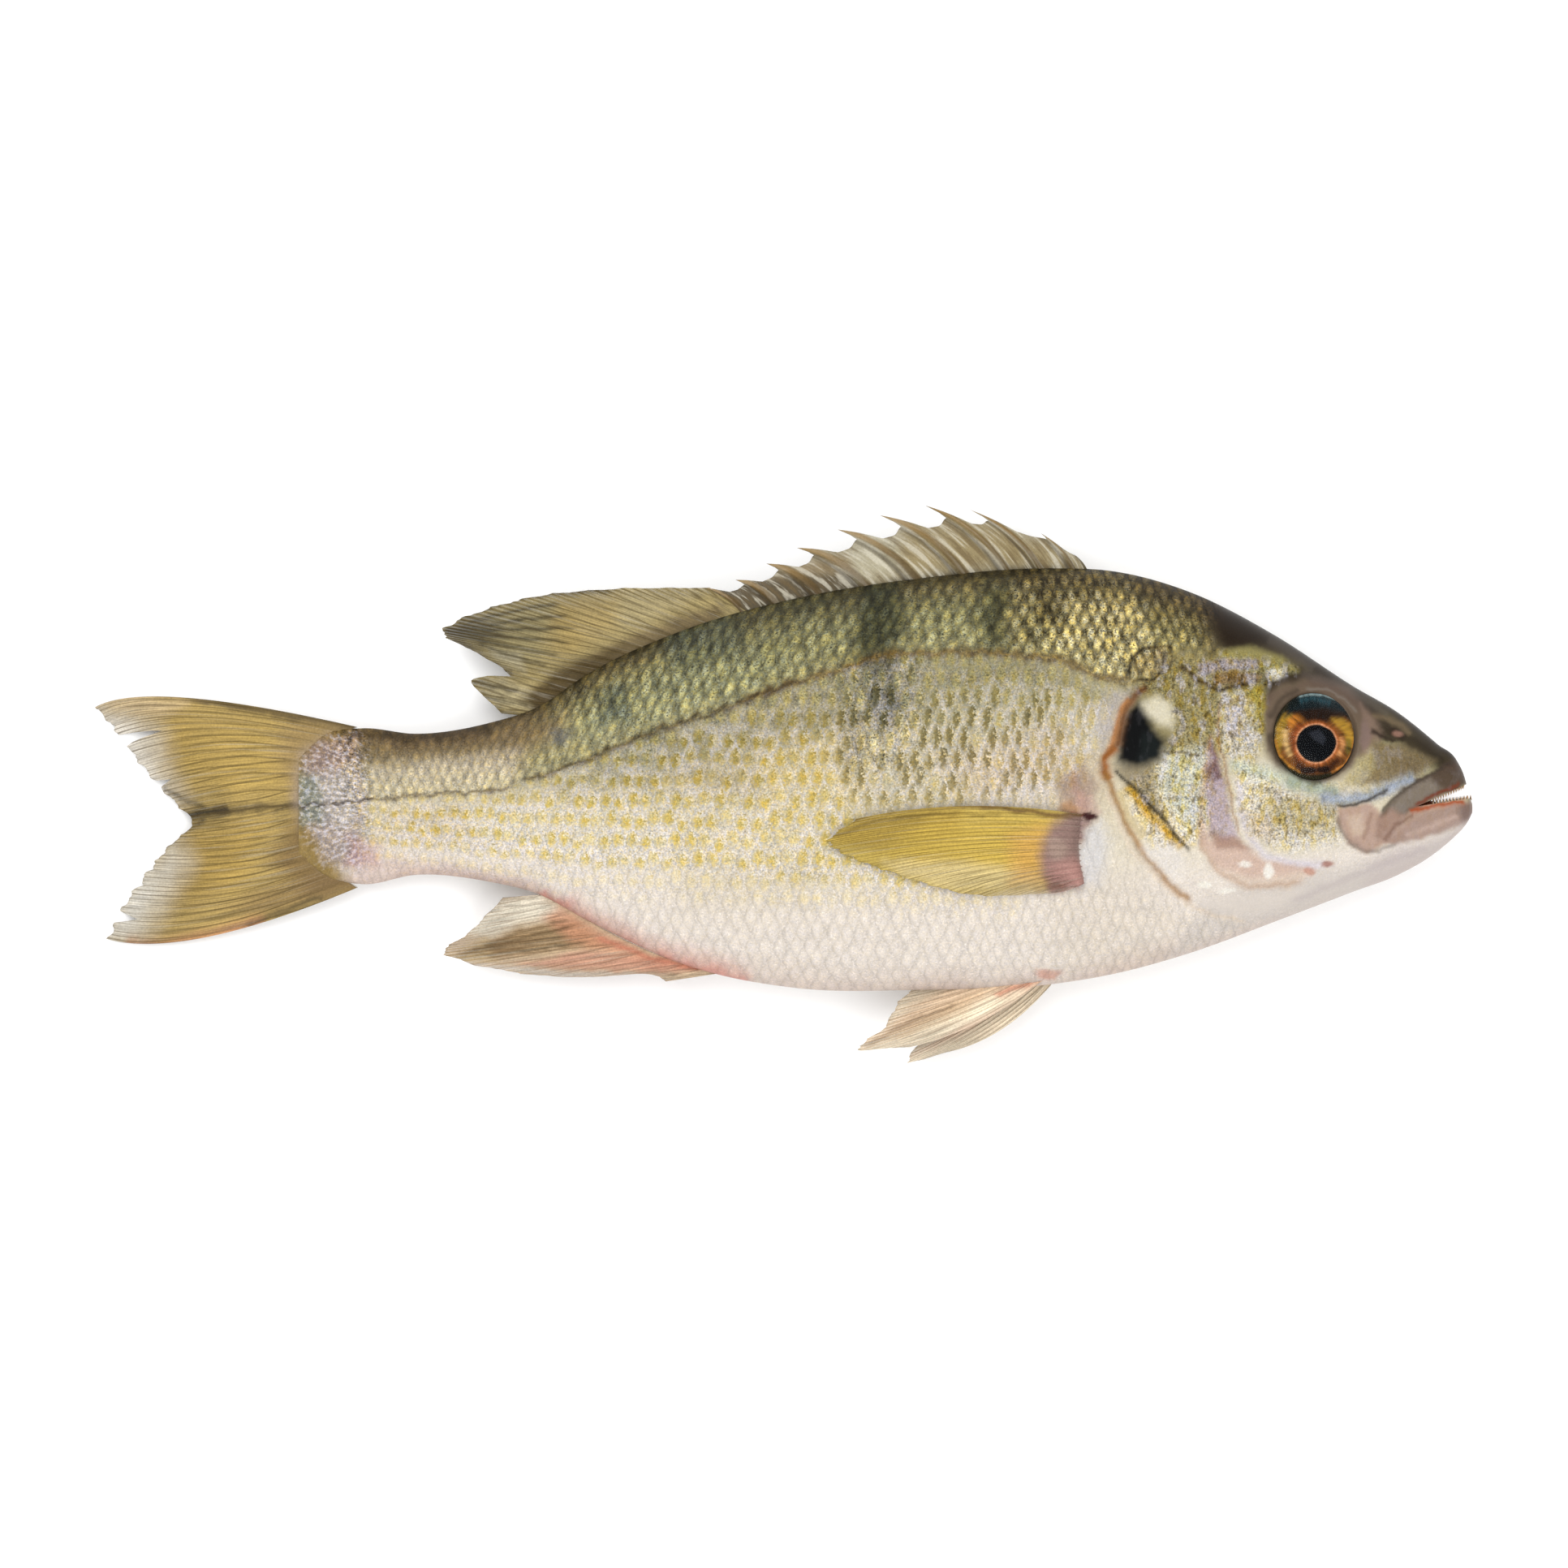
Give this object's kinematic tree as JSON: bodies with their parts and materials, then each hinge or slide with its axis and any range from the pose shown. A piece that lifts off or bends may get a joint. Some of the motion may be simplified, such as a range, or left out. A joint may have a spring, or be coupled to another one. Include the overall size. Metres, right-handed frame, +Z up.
{
  "type": "whole raw fish",
  "caption": "Whole raw fish with yellow fins, lying flat on its left flank with its head to the right, for a fish counter, a chopping board or a plate.",
  "frame": {"origin": "on the surface that the fish rests on, under the middle of its bounding box", "axes": "+X points along the body to the head, +Y across the body to the back fin, and +Z up, out of the right flank"},
  "size_m": [0.28, 0.1137, 0.0376],
  "materials": {
    "fish_skin": "satin"
  },
  "bodies": {
    "root": {"fish": "fish_skin"}
  },
  "joints": []
}
